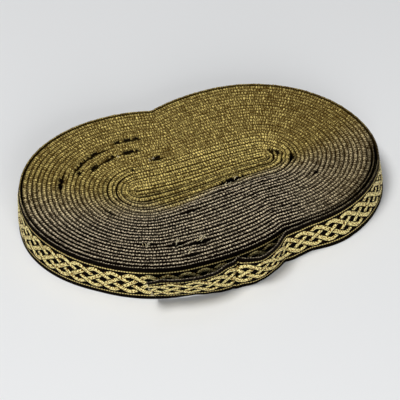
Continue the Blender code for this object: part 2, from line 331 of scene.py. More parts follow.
# Loose fibres at the slits and at the cut: where, how they point, how many and how long.
Fray = namedtuple("Fray", "x y z heading spread count length")
FRAYS = (
    Fray(x=-28.5 * MM, y=-28.1 * MM, z=12.9 * MM, heading=0.3, spread=1.2, count=6, length=2.4 * MM),
    Fray(x=-19.5 * MM, y=-30.3 * MM, z=12.9 * MM, heading=0.2, spread=1.2, count=6, length=2.2 * MM),
    Fray(x=-16.9 * MM, y=-34.9 * MM, z=12.9 * MM, heading=0.6, spread=1.0, count=5, length=2.0 * MM),
    Fray(x=-12.1 * MM, y=-31.5 * MM, z=12.9 * MM, heading=0.8, spread=1.0, count=7, length=2.2 * MM),
    Fray(x=4.9 * MM, y=-8.3 * MM, z=12.9 * MM, heading=0.9, spread=1.3, count=7, length=1.8 * MM),
    Fray(x=8.6 * MM, y=-7.2 * MM, z=12.9 * MM, heading=0.5, spread=1.3, count=6, length=1.8 * MM),
    Fray(x=-12.6 * MM, y=12.1 * MM, z=12.9 * MM, heading=2.2, spread=2.4, count=4, length=1.5 * MM),
    Fray(x=-24.0 * MM, y=15.9 * MM, z=12.8 * MM, heading=0.5, spread=1.0, count=6, length=1.6 * MM),
)
FIBRE_SCATTER = 0.7 * MM
FIBRE_SCATTER_UP = 0.2
FIBRE_LEAST = 0.5
FIBRE_BEND = 1.4
FIBRE_ARCH = 0.35
FIBRE_ARCH_END = 0.85
FIBRE_RADIUS = 0.05 * MM
FIBRE_STEPS = 8
FIBRE_SIDES = 5
FIBRE_GRAIN = 0.8 * MM
CUT_FIBRES = 16
CUT_FIBRE_LENGTH = 1.1 * MM
CUT_FIBRE_LEAST = 0.4

Light = namedtuple("Light", "name place energy size")
LIGHTS = (
    Light(name="key", place=(-0.62, -0.22, 1.52), energy=17.0, size=0.5),
    Light(name="fill", place=(-0.15, -0.95, 0.36), energy=6.0, size=0.5),
    Light(name="back", place=(-0.10, 0.50, 1.20), energy=0.6, size=0.4),
)
FLOOR_REACH = 3.0
AIM_X = -0.28 * MM
AIM_Y = 1.56 * MM


def linear(code):
    """Turn an sRGB hex colour such as "c8b060" into linear RGBA."""
    parts = [int(code[at:at + 2], 16) / 255 for at in (0, 2, 4)]
    return [p / 12.92 if p <= 0.04045 else ((p + 0.055) / 1.055) ** 2.4 for p in parts] + [1.0]


def clamped(share):
    """Keep a share between nothing and one."""
    return np.clip(share, 0.0, 1.0)


def eased(share):
    """Clamp to 0-1 and ease both ends: three squares less two cubes."""
    share = clamped(share)
    return share * share * (3.0 - 2.0 * share)


def lobe_measure(lobe, x, y):
    """Return 1 on a lobe's outline, less inside: each quarter is an oval of its own size."""
    across = (x - lobe.centre_x) * math.copysign(1.0, lobe.centre_x)
    up = y - lobe.centre_y
    quarters = (
        (lobe.outer_back, (across >= 0) & (up >= 0)),
        (lobe.inner_back, (across < 0) & (up >= 0)),
        (lobe.outer_front, (across >= 0) & (up < 0)),
        (lobe.inner_front, (across < 0) & (up < 0)),
    )
    measure = np.zeros_like(x)
    for quarter, here in quarters:
        power = quarter.squareness
        oval = np.abs(across / quarter.half_length) ** power + np.abs(up / quarter.depth) ** power
        measure = np.where(here, oval ** (1.0 / power), measure)
    return measure


def outline_measure(x, y):
    """Blend the two lobes into one outline, with a soft corner at the waist."""
    left = np.exp(-lobe_measure(LEFT_LOBE, x, y) / WAIST_BLEND)
    right = np.exp(-lobe_measure(RIGHT_LOBE, x, y) / WAIST_BLEND)
    return -WAIST_BLEND * np.log(left + right + 1e-300)


def reach_to_outline(base_x, base_y, toward_x, toward_y):
    """Halve the interval until the ray from each base point meets the outline."""
    near = np.zeros_like(base_x)
    far = np.full_like(base_x, SEARCH_REACH)
    for _ in range(SEARCH_HALVINGS):
        middle = (near + far) / 2
        inside = outline_measure(base_x + toward_x * middle, base_y + toward_y * middle) < 1.0
        near = np.where(inside, middle, near)
        far = np.where(inside, far, middle)
    return near


def spokes(place):
    """Base point, direction, core radius and leftness for each place, 0 to 1 counter-clockwise.

    The two ends fan out over half a circle each, and the two sides run straight across.
    """
    turn = np.mod(place + END_SHARE / 2, 1.0)
    second = turn >= 0.5
    within = np.where(second, turn - 0.5, turn)
    on_end = within < END_SHARE
    fan = clamped(within / END_SHARE) * math.pi - math.pi / 2
    along_side = clamped((within - END_SHARE) / (0.5 - END_SHARE))
    angle = np.where(on_end, fan, math.pi / 2) + np.where(second, math.pi, 0.0)
    from_right = np.where(on_end, 0.0, along_side)
    from_right = np.where(second, 1.0 - from_right, from_right)
    ease = eased(from_right)
    base_x = CORE_RIGHT_X + (CORE_LEFT_X - CORE_RIGHT_X) * from_right
    base_y = CORE_RIGHT_Y + (CORE_LEFT_Y - CORE_RIGHT_Y) * ease
    radius = CORE_RIGHT_RADIUS + (CORE_LEFT_RADIUS - CORE_RIGHT_RADIUS) * from_right
    return base_x, base_y, np.cos(angle), np.sin(angle), radius, from_right


def slow_wave(turn, place, seed, rises):
    """A smooth random value for each turn that changes slowly round the roll.

    Each whole turn has its own random phases, and the value fades from one to the next.
    """
    random = np.random.default_rng(seed)
    phases = random.uniform(0, 2 * math.pi, (RANDOM_TURNS, len(rises)))
    weights = random.uniform(0.5, 1.0, (RANDOM_TURNS, len(rises)))
    whole = np.floor(turn).astype(int)
    fade = eased(turn - whole)

    def value(index):
        waves = [weights[index, n] * np.sin(2 * math.pi * rise * place + phases[index, n])
                 for n, rise in enumerate(rises)]
        return np.sum(waves, axis=0) / len(rises)

    return value(whole) * (1 - fade) + value(whole + 1) * fade


def core_share(turn):
    """One in the core's turns, and nothing in the turns outside it."""
    return 1.0 - eased((turn - PAIR_END_TURN) / PAIR_FADE_TURNS)


def pair_wave(turn):
    """Plus one where a core turn moves out against the next, minus one where it moves in."""
    return np.tanh(PAIR_STEEPNESS * np.cos(math.pi * turn - PAIR_PHASE)) * core_share(turn)


def layers_below_rim(turn):
    """How many layers lie outside each turn, so that the last turn follows the outline.

    Each layer steps in by one thickness where the next one starts on top of it. That step
    is sudden under the last turns, and spread over the whole turn further in.
    """
    from_rim = TOTAL_TURNS - turn
    whole = np.floor(from_rim)
    part = from_rim - whole
    spread = 1.0 - np.exp(-whole / STEP_FADE)
    return whole + spread * part + (1.0 - spread) * eased((part - 1.0 + STEP_SHARE) / STEP_SHARE)


def wound_path(turn, thickness):
    """Middle, direction, build share, place, spacing and slackness of the ribbon at each turn.

    The core's turns share the core radius evenly, and the later turns share the way from
    there to the outline. The innermost fold is bent, the core's turns lie in pairs, and
    random waves and the slits move each turn a little. Slackness is above nothing just
    inside a slit, and below nothing just outside it.
    """
    place = ROOT_PLACE - turn + TOTAL_TURNS
    base_x, base_y, toward_x, toward_y, radius, left = spokes(place)
    reach = reach_to_outline(base_x, base_y, toward_x, toward_y) - thickness / 2
    in_core = clamped((turn - FIRST_TURN) / (CORE_TURNS - FIRST_TURN))
    in_build = clamped(1.0 - layers_below_rim(turn) / BUILD_TURNS)
    spacing = np.where(turn < CORE_TURNS, radius / CORE_TURNS, (reach - radius) / BUILD_TURNS)
    folded = 1.0 - in_core
    base_x = base_x + FOLD_SHIFT_X * folded * left ** 4
    base_y = base_y + folded * (FOLD_SHIFT_Y * left ** 6 - FOLD_SAG * np.sin(math.pi * left))
    out = radius * in_core + (reach - radius) * in_build
    calm = clamped(TOTAL_TURNS - 1.0 - turn) * clamped((turn - 1.0) / 2.0)
    out = out + calm * TURN_WANDER * slow_wave(turn, place, RANDOM_SEED, (3, 7, 13))
    out = out + calm * PAIR_SHIFT * pair_wave(turn)
    slack = np.zeros_like(turn)
    for slit in SLITS:
        away = np.mod(place - slit.place + 0.5, 1.0) - 0.5
        here = np.exp(-(away / slit.reach) ** 2)
        ripple = np.sin(2 * math.pi * SLIT_RIPPLES * place + SLIT_RIPPLE_PHASE * slit.turn)
        ragged = 1.0 - SLIT_RAGGED + SLIT_RAGGED * ripple
        side = turn - slit.turn
        push = np.tanh(side / SLIT_SOFTNESS) * np.exp(-np.abs(side) / SLIT_REACH_TURNS)
        out = out + 0.5 * slit.opening * here * ragged * push * calm
        near = here * np.exp(-(side / SLIT_EDGE_TURNS) ** 2)
        slack = np.where(near > np.abs(slack), near * np.where(side < 0, 1.0, -1.0), slack)
    middle = np.stack((base_x + toward_x * out, base_y + toward_y * out), axis=-1)
    return middle, np.stack((toward_x, toward_y), axis=-1), in_build, place, spacing, slack


def spiral_track(thickness):
    """Running length of the ribbon at fine even steps of the turn, from the fold outwards."""
    turn = np.linspace(FIRST_TURN, TOTAL_TURNS, TRACK_STEPS)
    middle = wound_path(turn, thickness)[0]
    step = np.linalg.norm(np.diff(middle, axis=0), axis=1)
    return turn, np.append(0.0, np.cumsum(step))


def ribbon_section(face_shares, inner_rows, foot_sides, thin, settings):
    """Section of the ribbon: up its outer face, over the edge, down the inner face, and under.

    Gives each point's side (1 outer, -1 inner), height, running distance and share of loop.
    Near the edge the ribbon thins by the given share.
    """
    width, thickness = settings.width, settings.thickness
    face = np.array(face_shares) * width
    inner = np.linspace(width - EDGE_ROUND, EDGE_ROUND, inner_rows)
    edge = np.array(EDGE_POINTS)
    foot = np.array(foot_sides)
    side = np.concatenate((np.ones(len(face)), edge[:, 0], -np.ones(inner_rows), foot))
    height = np.concatenate((
        face, width - EDGE_ROUND * edge[:, 1], inner, EDGE_ROUND * FOOT_RISE * np.abs(foot)))
    travel = np.concatenate((
        face, width + thickness * (0.5 - 0.5 * edge[:, 0]), 2 * width + thickness - inner,
        2 * width + thickness * (1.5 + 0.5 * foot)))
    loop = np.concatenate((np.zeros(len(face)), edge[:, 2], np.zeros(inner_rows + len(foot))))
    side = side * (1.0 - thin * eased((height - width + SELVEDGE_RUN) / SELVEDGE_RUN))
    return Section(side, height, travel, loop, len(face), 2 * (width + thickness))


def plait_relief(along, across, settings):
    """Height of the raised strands: each is a rounded wave, and the one on top shows."""
    repeat = PLAIT_REPEAT * PLAIT_STRANDS
    best = np.zeros(np.broadcast(along, across).shape)
    relief = np.zeros_like(best)
    for strand in range(PLAIT_STRANDS):
        phase = 2 * math.pi * ((along - PLAIT_START) / repeat + strand / PLAIT_STRANDS)
        wave = np.arcsin(PLAIT_SHARPNESS * np.sin(phase)) / math.asin(PLAIT_SHARPNESS)
        slope = clamped(np.abs(np.cos(phase)) / STRAND_SLOPE)
        steep = 1.0 - (1.0 - STRAND_STEEPNESS) * slope
        away = np.abs(across - settings.width / 2 - PLAIT_HALF_HEIGHT * wave) * steep
        order = np.where(away < STRAND_HALF_WIDTH + STRAND_SHADOW, 2.0 - np.cos(3 * phase), 0.0)
        dome = np.sqrt(clamped(1.0 - (away / STRAND_HALF_WIDTH) ** 2))
        relief = np.where(order > best, dome, relief)
        best = np.maximum(best, order)
    return STRAND_RELIEF * relief


def edge_loops(number):
    """Random painted brightness, height, sway and shift of the edge at each mesh step.

    The loop's profile repeats along the edge, and each loop has its own four random values.
    """
    random = np.random.default_rng(RANDOM_SEED + 2)
    each, within = np.divmod(number, len(LOOP_PROFILE))
    chance = random.uniform(0.0, 1.0, (4, RANDOM_LOOPS))[:, each]
    profile = np.array(LOOP_PROFILE)[within]
    # Painted light and shade: a loop's top is drawn bright and the hollows between loops dark, in
    # step with the loop's height.
    bright = profile * (LOOP_LEAST + (1.0 - LOOP_LEAST) * chance[0])
    height = LOOP_HEIGHT * profile * (LOOP_LEAST + (1.0 - LOOP_LEAST) * chance[1])
    sway = LOOP_SWAY * (2.0 * chance[2] - 1.0)
    shift = LOOP_SHIFT * (2.0 * chance[3] - 1.0)
    return bright, height, sway, shift


def edge_shades(middle, turn, bright, slit_shade, section):
    """Tone (0 gold, 1 grey), brightness and blackness of the edge threads at each point.

    The painted slit shade is above nothing where the outer side faces a slit, and below where the
    inner does.
    """
    x, y = middle[:, 0], middle[:, 1]
    stops = np.array(TONE_STOPS)
    fade = np.interp(x, stops[:, 0], stops[:, 2])
    rightness = clamped((x - RIGHT_FROM) / RIGHT_OVER)
    tone = eased((np.interp(x, stops[:, 0], stops[:, 1]) - y) / fade + 0.5)
    tone_shown = tone * (1.0 - RIGHT_WARMTH * rightness)
    in_front = tone * (1.0 - OUTER_LESS_RIGHT * rightness)
    outer_black = OUTER_BLACK + (1.0 - OUTER_BLACK) * in_front
    outer_from = OUTER_FROM - OUTER_WIDER_IN_FRONT * tone
    outer = clamped((section.side - outer_from[:, None]) / BLACK_FADE)
    seam_black = SEAM_BLACK * eased(np.maximum(pair_wave(turn), 0.0) * SEAM_GAIN)
    seam = clamped((section.side - SEAM_FROM) / BLACK_FADE)
    facing = clamped(SLIT_SHADE_MIDDLE + SLIT_SHADE_SLOPE * section.side * np.sign(slit_shade)[:, None])
    front_right = rightness * eased((RIM_FRONT - y) / RIM_FRONT_OVER)
    rim_turns = RIM_TURNS + (RIM_TURNS_RIGHT - RIM_TURNS) * front_right
    rim = RIM_BLACK * clamped((turn - TOTAL_TURNS + rim_turns) / RIM_FADE_TURNS)
    inside = RIM_BLACK_INSIDE + (1.0 - RIM_BLACK_INSIDE) * front_right
    blacks = (
        rim[:, None] * np.where(section.side > RIM_INSIDE_FROM, 1.0, inside[:, None]),
        np.abs(slit_shade)[:, None] * facing, outer_black[:, None] * outer, seam_black[:, None] * seam)
    # Painted shade: the right end's edge threads are drawn dimmer; the core's are drawn brighter.
    strength = 1.0 - RIGHT_DIMNESS * rightness + CORE_BRIGHTNESS * core_share(turn)
    return np.stack((
        np.broadcast_to(tone_shown[:, None], (len(x), len(section.side))),
        (bright * strength)[:, None] * (LOOP_LEAST + (1.0 - LOOP_LEAST) * section.loop),
        np.max(blacks, axis=0),
    ), axis=-1)


def add_item(name, data):
    """Put a mesh, a light or a camera in the scene as an object at the origin."""
    item = bpy.data.objects.new(name, data)
    bpy.context.scene.collection.objects.link(item)
    return item


def fill_mesh(name, points, along, section, shades):
    """Put a grid of points, closed round its section and capped at both ends, in a mesh."""
    stations, around = points.shape[:2]
    index = np.arange(stations * around).reshape(stations, around)
    after = np.roll(index, -1, axis=1)
    quads = np.stack((index[:-1], after[:-1], after[1:], index[1:]), axis=-1).reshape(-1, 4)
    mesh = bpy.data.meshes.new(name)
    caps = [list(index[0][::-1]), list(index[-1])]
    mesh.from_pydata(points.reshape(-1, 3), [], quads.tolist() + caps)
    whole_lap = np.append(section.travel, section.lap + section.travel[0])
    u = np.repeat(along[:, None], around, axis=1)
    v = np.broadcast_to(whole_lap[:-1], (stations, around))
    v_after = np.broadcast_to(whole_lap[1:], (stations, around))
    around_quad = ((u[:-1], v[:-1]), (u[:-1], v_after[:-1]), (u[1:], v_after[1:]), (u[1:], v[1:]))
    corners = np.stack([np.stack(at, axis=-1) for at in around_quad], axis=2).reshape(-1, 2)
    cap_corners = np.concatenate([
        np.column_stack((u.reshape(-1)[cap], v.reshape(-1)[cap])) for cap in caps])
    weave = mesh.uv_layers.new(name="weave")
    weave.data.foreach_set("uv", np.concatenate((corners, cap_corners)).astype(np.float32).ravel())
    edge = mesh.attributes.new("edge", "FLOAT_COLOR", "POINT")
    colours = np.concatenate((shades, np.ones((stations, around, 1))), axis=-1)
    edge.data.foreach_set("color", colours.astype(np.float32).ravel())
    mesh.shade_smooth()
    return add_item(name, mesh)


def foot_inset(toward_x, in_build):
    """How far the wall's foot leans in, less than nothing where it leans out at the two ends.

    The lean fades from the outside of the roll inwards.
    """
    left = 0.5 - 0.5 * toward_x
    inset = FOOT_INSET_RIGHT + (FOOT_INSET_LEFT - FOOT_INSET_RIGHT) * left
    for flare in FLARES:
        inset = inset - flare.width * eased((flare.side * toward_x - flare.starts) / FLARE_OVER)
    return inset * in_build ** FOOT_INSET_POWER


def foot_lean(share):
    """Share of the foot's lean at each height: all at the foot, nothing at FOOT_INSET_TOP."""
    return clamped((FOOT_INSET_TOP - share) / FOOT_INSET_TOP)


def unit(vectors):
    """Vectors divided by their lengths."""
    return vectors / np.linalg.norm(vectors, axis=-1, keepdims=True)


def outward_from(middle):
    """Unit normals of a path in plan, a quarter turn left of the way it runs."""
    run = unit(np.gradient(middle, axis=0))
    return np.stack((-run[..., 1], run[..., 0]), axis=-1)


def turn_piece(stretch, section, settings, raised):
    """Carry the ribbon's section along one stretch of the spiral.

    Each point is the path's point, plus out along the normal, plus up. The foot leans in
    or out, and the edge carries its loops, whose spacing drifts along inner turns.
    """
    turns, lengths = spiral_track(settings.thickness)
    ends = np.interp((stretch.first, stretch.last), turns, lengths) / LOOP_STEP
    number = np.arange(round(ends[0]), round(ends[1]) + 1)
    bright, loop_height, sway, shift = edge_loops(number)
    along = number * LOOP_STEP
    drift = shift + LOOP_DRIFT * np.sin(2 * math.pi * along / LOOP_DRIFT_LENGTH)
    turn = np.interp(along + (0.0 if raised else drift), lengths, turns)
    middle, toward, in_build, place, spacing, slack = wound_path(turn, settings.thickness)
    half = np.full_like(turn, settings.thickness / 2) if raised else spacing * TURN_FILL / 2
    outward = outward_from(middle)
    share = section.height / settings.width
    lean = -foot_inset(toward[:, 0], in_build)[:, None] * foot_lean(share)
    offset = section.side * half[:, None] + sway[:, None] * section.loop
    if raised:
        offset[:, :section.face_rows] += plait_relief(
            along[:, None], section.height[None, :section.face_rows], settings)
    plan = (middle[:, None, :] + toward[:, None, :] * lean[..., None]
            + outward[:, None, :] * offset[..., None])
    calm = clamped((TOTAL_TURNS - turn) / LIFT_FADE_TURNS)
    lift = calm * HEAD_LIFT * slow_wave(turn, place, RANDOM_SEED + 1, (1, 2, 5))
    z = (section.height + lift[:, None] * clamped((share - HEAD_FROM) / (1.0 - HEAD_FROM))
         + loop_height[:, None] * section.loop)
    points = np.concatenate((plan + (MIDDLE_X, MIDDLE_Y), z[..., None]), axis=-1)
    # Painted shade: the edges that face a slit are drawn black, standing in for the shade in its
    # gap.
    chance = SLIT_CHANCE * shift / LOOP_SHIFT
    slit_shade = clamped(SLIT_SHARPNESS * (np.abs(slack) + chance - SLIT_LEVEL))
    shades = edge_shades(middle, turn, bright, np.sign(slack) * slit_shade, section)
    length = (number[-1] - number[0]) * LOOP_STEP
    return fill_mesh(stretch.name, points, along, section, shades), length, number[-1]


def wall_front(x):
    """Return the y of the roll's front wall at each x, by halving the interval."""
    return -reach_to_outline(x, np.zeros_like(x), np.zeros_like(x), -np.ones_like(x))


def smooth_stations(table, steps):
    """Pass a smooth curve through the table's rows, at even steps from row to row."""
    rows = np.array(table)
    padded = np.vstack((2 * rows[0] - rows[1], rows, 2 * rows[-1] - rows[-2]))
    at = np.linspace(0.0, len(rows) - 1.0, steps)
    first = np.minimum(at.astype(int), len(rows) - 2)
    part = (at - first)[:, None]
    p0, p1, p2, p3 = (padded[first + shift] for shift in range(4))
    curve = 2 * p1 + (p2 - p0) * part + (2 * p0 - 5 * p1 + 4 * p2 - p3) * part ** 2
    return (curve + (3 * p1 - p0 - 3 * p2 + p3) * part ** 3) / 2


def free_end_piece(name, first_number, section, settings):
    """Carry the section along the free end: out from the wall by a gap that grows upwards.

    A crease is one narrow dip in that gap, and rumples are a low wave along the ribbon.
    """
    fine = smooth_stations(FREE_END, STATION_STEPS)
    fine_wall = wall_front(fine[:, 0])
    steps = np.hypot(np.diff(fine[:, 0]), np.diff(fine_wall - fine[:, 1]))
    length = np.append(0.0, np.cumsum(steps))
    count = int(length[-1] / LOOP_STEP) + 1
    number = first_number + np.arange(count)
    along = number * LOOP_STEP
    even = np.linspace(0, length[-1], count)
    x, foot, head, lift = (np.interp(even, length, fine[:, column]) for column in range(4))
    progress = np.linspace(0.0, 1.0, count)
    slant = CUT_SLANT * clamped((progress - CUT_SLANT_FROM) / (1.0 - CUT_SLANT_FROM))
    part = eased((x[0] - x) / ROOT_BLEND)
    tuck = (settings.thickness + ROOT_CLEARANCE) * (1.0 - part)
    inset = foot_inset(ROOT_TOWARD_X, 1.0) * (1.0 - part)
    share = section.height / settings.width
    gap = foot[:, None] + (head - foot)[:, None] * share - tuck[:, None] + settings.thickness / 2
    crease_x = CREASE_X + CREASE_SLANT * (share - 0.5)
    crease = CREASE_DEPTH * np.exp(-((x[:, None] - crease_x) / CREASE_HALF_WIDTH) ** 2)
    crease = crease * (CREASE_AT_FOOT + (1.0 - CREASE_AT_FOOT) * share)
    rumple = RUMPLE_HEIGHT * np.sin(2 * math.pi * x[:, None] / RUMPLE_LENGTH + RUMPLE_TWIST * share)
    gap = gap - inset[:, None] * foot_lean(share) + part[:, None] * rumple - crease
    across_x = x[:, None] - slant[:, None] * share
    wall = np.interp(-across_x, -fine[:, 0], fine_wall)
    middle = np.stack((across_x, wall - gap), axis=-1)
    outward = outward_from(middle)
    lean = np.arctan2(head - foot, settings.width)
    bright, loop_height, sway, _ = edge_loops(number)
    offset = section.side * settings.thickness / 2 + sway[:, None] * section.loop
    offset[:, :section.face_rows] += plait_relief(
        along[:, None], section.height[None, :section.face_rows], settings)
    plan = middle + outward * offset[..., None]
    z = (np.maximum(lift, 0.0)[:, None] + section.height * np.cos(lean)[:, None]
         + loop_height[:, None] * section.loop)
    points = np.concatenate((plan + (MIDDLE_X, MIDDLE_Y), z[..., None]), axis=-1)
    whole = np.full(count, TOTAL_TURNS)
    shades = edge_shades(middle[:, -1], whole, bright, np.zeros(count), section)
    return fill_mesh(name, points, along, section, shades), along[-1] - along[0], points[-1]


def fibre_piece(name, cut):
    """Loose fibres as thin tubes: each path leaves its root, curls sideways and sinks again.

    A fibre runs along its heading, which turns by the bend, and its height follows a sine.
    """
    random = np.random.default_rng(RANDOM_SEED + 3)
    roots = []
    headings = []
    lengths = []
    for fray in FRAYS:
        roots.append(random.normal(0.0, FIBRE_SCATTER, (fray.count, 3)) * (1, 1, FIBRE_SCATTER_UP)
                     + (fray.x + MIDDLE_X, fray.y + MIDDLE_Y, fray.z))
        headings.append(fray.heading + random.uniform(-fray.spread, fray.spread, fray.count))
        lengths.append(fray.length * random.uniform(FIBRE_LEAST, 1.0, fray.count))
    up = random.uniform(0.02, 0.98, CUT_FIBRES)[:, None]
    roots.append(cut[0] + (cut[1] - cut[0]) * up)
    headings.append(math.pi + random.uniform(-0.7, 0.5, CUT_FIBRES))
    lengths.append(CUT_FIBRE_LENGTH * random.uniform(CUT_FIBRE_LEAST, 1.0, CUT_FIBRES))
    root = np.concatenate(roots)
    heading = np.concatenate(headings)
    length = np.concatenate(lengths)
    share = np.linspace(0.0, 1.0, FIBRE_STEPS)
    bend = random.uniform(-FIBRE_BEND, FIBRE_BEND, len(root))
    angle = heading[:, None] + bend[:, None] * share
    step = length[:, None] / FIBRE_STEPS
    path = np.stack((
        np.cumsum(np.cos(angle) * step, axis=1), np.cumsum(np.sin(angle) * step, axis=1),
        FIBRE_ARCH * length[:, None] * np.sin(math.pi * FIBRE_ARCH_END * share)), axis=-1)
    path = path + root[:, None, :]
    run = unit(np.gradient(path, axis=1))
    level = unit(np.cross(run, (0.0, 0.0, 1.0)))
    upward = np.cross(level, run)
    round_angle = np.linspace(0.0, 2 * math.pi, FIBRE_SIDES, endpoint=False)
    ring = (level[:, :, None, :] * np.cos(round_angle)[:, None]
            + upward[:, :, None, :] * np.sin(round_angle)[:, None])
    points = path[:, :, None, :] + FIBRE_RADIUS * ring
    index = np.arange(points.size // 3).reshape(points.shape[:3])
    after = np.roll(index, -1, axis=2)
    quads = np.stack((index[:, :-1], index[:, 1:], after[:, 1:], after[:, :-1]), axis=-1)
    caps = index[:, 0].tolist() + index[:, -1, ::-1].tolist()
    mesh = bpy.data.meshes.new(name)
    mesh.from_pydata(points.reshape(-1, 3), [], quads.reshape(-1, 4).tolist() + caps)
    mesh.shade_smooth()
    return add_item(name, mesh)


def add_node(tree, kind, sockets=None, output=0, **settings):
    """Add a node, set its settings, give each socket a value or link, and return an output."""
    node = tree.nodes.new(kind)
    for name, value in settings.items():
        setattr(node, name, value)
    for key, value in (sockets or {}).items():
        if isinstance(value, bpy.types.NodeSocket):
            tree.links.new(value, node.inputs[key])
        else:
            node.inputs[key].default_value = value
    return node.outputs[output]


def maths(tree, operation, *values):
    """Work one operation on numbers and links."""
    return add_node(tree, "ShaderNodeMath", dict(enumerate(values)), operation=operation)


def blend(tree, factor, start, end):
    """Mix from the start colour to the end colour by the factor."""
    return add_node(tree, "ShaderNodeMix", {
        "Factor": factor, "A": start, "B": end}, output=2, data_type="RGBA")


def ramp(tree, value, first, last, low=0.0, high=1.0):
    """Run from low to high while the value runs from first to last, and no further."""
    return add_node(tree, "ShaderNodeMapRange", {
        "Value": value, "From Min": first, "From Max": last, "To Min": low, "To Max": high})


def grain(tree, detail, x, length, y=0.0, height=1.0):
    """Noise in grains of a given length along the ribbon and height across it."""
    place = add_node(tree, "ShaderNodeCombineXYZ", {
        0: maths(tree, "MULTIPLY", x, 1 / length), 1: maths(tree, "MULTIPLY", y, 1 / height)})
    return add_node(tree, "ShaderNodeTexNoise", {"Vector": place, "Scale": 1.0, "Detail": detail})


def new_surface(name):
    """Start a material, and return it with its nodes and its shader."""
    material = bpy.data.materials.new(name)
    material.use_nodes = True
    return material, material.node_tree, material.node_tree.nodes["Principled BSDF"]


def plait_mask(tree, along, level):
    """One on the gold strands: four rounded waves, each over and under its neighbours."""
    repeat = PLAIT_REPEAT * PLAIT_STRANDS
    turned = maths(
        tree, "MULTIPLY_ADD", along, 2 * math.pi / repeat, -2 * math.pi * PLAIT_START / repeat)
    height = PLAIT_HALF_HEIGHT / math.asin(PLAIT_SHARPNESS)
    best = 0.0
    strands = []
    for strand in range(PLAIT_STRANDS):
        phase = maths(tree, "ADD", turned, strand * 2 * math.pi / PLAIT_STRANDS)
        sine = maths(tree, "MULTIPLY", maths(tree, "SINE", phase), PLAIT_SHARPNESS)
        wave = maths(tree, "ARCSINE", sine)
        away = maths(tree, "ABSOLUTE", maths(tree, "MULTIPLY_ADD", wave, -height, level))
        slope = maths(tree, "ABSOLUTE", maths(tree, "COSINE", phase))
        steep = ramp(tree, slope, 0.0, STRAND_SLOPE, 1.0, STRAND_STEEPNESS)
        away = maths(tree, "MULTIPLY", away, steep)
        near = maths(tree, "LESS_THAN", away, STRAND_HALF_WIDTH + STRAND_SHADOW)
        inside = maths(tree, "LESS_THAN", away, STRAND_HALF_WIDTH)
        order = maths(tree, "COSINE", maths(tree, "MULTIPLY", phase, 3.0))
        order = maths(tree, "MULTIPLY", maths(tree, "SUBTRACT", 2.0, order), near)
        best = maths(tree, "MAXIMUM", best, order)
        strands.append((order, inside))
    gold = 0.0
    for order, inside in strands:
        top = maths(tree, "COMPARE", order, best, 0.001)
        gold = maths(tree, "MAXIMUM", gold, maths(tree, "MULTIPLY", top, inside))
    return gold


